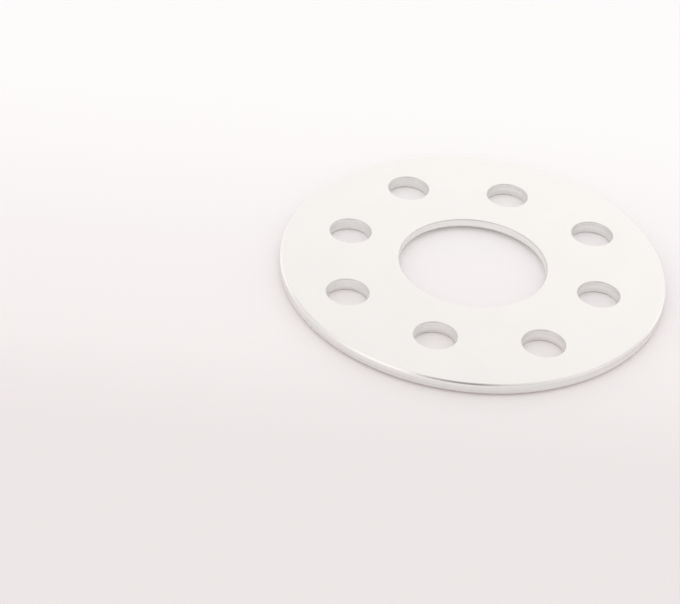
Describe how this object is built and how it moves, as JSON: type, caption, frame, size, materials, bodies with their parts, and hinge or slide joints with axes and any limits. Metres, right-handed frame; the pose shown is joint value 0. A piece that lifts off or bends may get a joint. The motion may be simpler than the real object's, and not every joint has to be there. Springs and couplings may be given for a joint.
{
  "type": "wheel spacer",
  "caption": "Flat turned aluminium disc that spaces a road wheel off its hub, with a chamfered hub bore, interleaved circles of bolt holes and chamfered rim edges.",
  "frame": {"origin": "centre of the hub bore at the hub-side face, on which the disc lies", "axes": "+Z along the bore axis towards the wheel; +X through a bolt hole of the smaller bolt circle"},
  "size_m": [0.149, 0.149, 0.005],
  "materials": {
    "anodised_aluminium": "satin, clear anodised"
  },
  "bodies": {
    "root": {"spacer_disc": "anodised_aluminium"}
  },
  "joints": []
}
